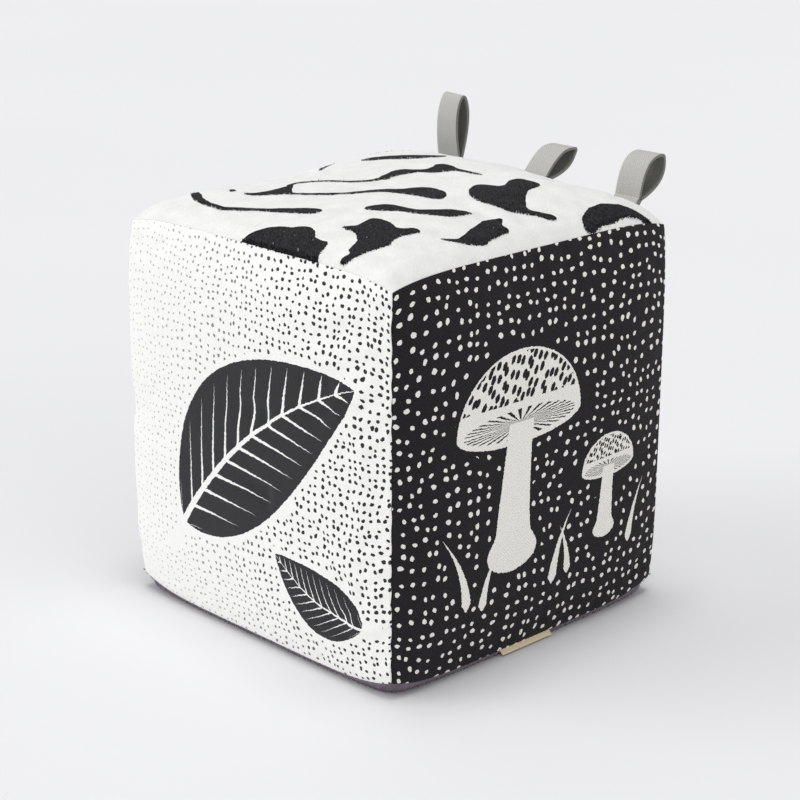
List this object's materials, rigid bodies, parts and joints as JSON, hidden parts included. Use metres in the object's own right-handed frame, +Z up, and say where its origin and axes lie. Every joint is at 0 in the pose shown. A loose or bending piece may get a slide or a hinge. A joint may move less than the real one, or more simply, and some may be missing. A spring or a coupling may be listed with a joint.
{
  "type": "soft fabric activity block",
  "caption": "Padded fabric cube with dotted cotton sides, a patched plush top and tape loops along one upper seam.",
  "frame": {"origin": "middle of the flat that the block rests on, under the centre of the cube", "axes": "+Z up from the resting flat to the plush top; -Y out of the pale panel with fine dots, +X out of the dark panel with larger dots; the tape loops stand along the seam between the top and the +Y panel"},
  "size_m": [0.15, 0.1667, 0.1786],
  "materials": {
    "pale_printed_canvas": "matte",
    "dark_printed_twill": "matte",
    "patched_plush": "matte",
    "mauve_plush": "matte",
    "polyester_fibre": "matte",
    "sewing_thread": "satin",
    "grey_cotton_tape": "matte",
    "label_satin": "satin",
    "capsule_plastic": "satin",
    "pellet_plastic": "gloss"
  },
  "bodies": {
    "block": {"front_panel": "pale_printed_canvas", "right_panel": "dark_printed_twill", "back_panel": "pale_printed_canvas", "left_panel": "dark_printed_twill", "top_panel": "patched_plush", "base_panel": "mauve_plush", "filling_lower": "polyester_fibre", "filling_upper": "polyester_fibre", "front_right_thread": "sewing_thread", "right_back_thread": "sewing_thread", "back_left_thread": "sewing_thread", "left_front_thread": "sewing_thread", "front_top_thread": "sewing_thread", "right_top_thread": "sewing_thread", "back_top_thread": "sewing_thread", "left_top_thread": "sewing_thread", "front_base_thread": "sewing_thread", "right_base_thread": "sewing_thread", "left_base_thread": "sewing_thread", "back_base_left_thread": "sewing_thread", "back_base_closing_thread": "sewing_thread", "back_base_right_thread": "sewing_thread", "left_tag_ends": "grey_cotton_tape", "middle_tag_ends": "grey_cotton_tape", "right_tag_ends": "grey_cotton_tape", "care_label": "label_satin", "rattle_cup_lower": "capsule_plastic", "rattle_cup_upper": "capsule_plastic"},
    "left_loop": {"left_tag_loop": "grey_cotton_tape"},
    "middle_loop": {"middle_tag_loop": "grey_cotton_tape"},
    "right_loop": {"right_tag_loop": "grey_cotton_tape"},
    "front_pellet": {"front_rattle_pellet": "pellet_plastic"},
    "middle_pellet": {"middle_rattle_pellet": "pellet_plastic"},
    "back_pellet": {"back_rattle_pellet": "pellet_plastic"}
  },
  "joints": [
    {"name": "left_loop_flop", "type": "hinge", "parent": "block", "child": "left_loop", "pos_m": [-0.04278, 0.07103, 0.14966], "axis": [-1, 0, 0], "range_deg": [-33, 102], "stiffness_Nm_per_rad": 0.004},
    {"name": "middle_loop_flop", "type": "hinge", "parent": "block", "child": "middle_loop", "pos_m": [0.00069, 0.0711, 0.1499], "axis": [-1, 0, 0], "range_deg": [-91, 44], "stiffness_Nm_per_rad": 0.004},
    {"name": "right_loop_flop", "type": "hinge", "parent": "block", "child": "right_loop", "pos_m": [0.0483, 0.07097, 0.14943], "axis": [-1, 0, 0], "range_deg": [-71, 64], "stiffness_Nm_per_rad": 0.004},
    {"name": "front_pellet_roll", "type": "hinge", "parent": "block", "child": "front_pellet", "pos_m": [0, -0.0078, 0.0754], "axis": [0, 1, 0], "continuous": true},
    {"name": "middle_pellet_roll", "type": "hinge", "parent": "block", "child": "middle_pellet", "pos_m": [0, 0, 0.0754], "axis": [0, 1, 0], "continuous": true},
    {"name": "back_pellet_roll", "type": "hinge", "parent": "block", "child": "back_pellet", "pos_m": [0, 0.0078, 0.0754], "axis": [0, 1, 0], "continuous": true}
  ]
}
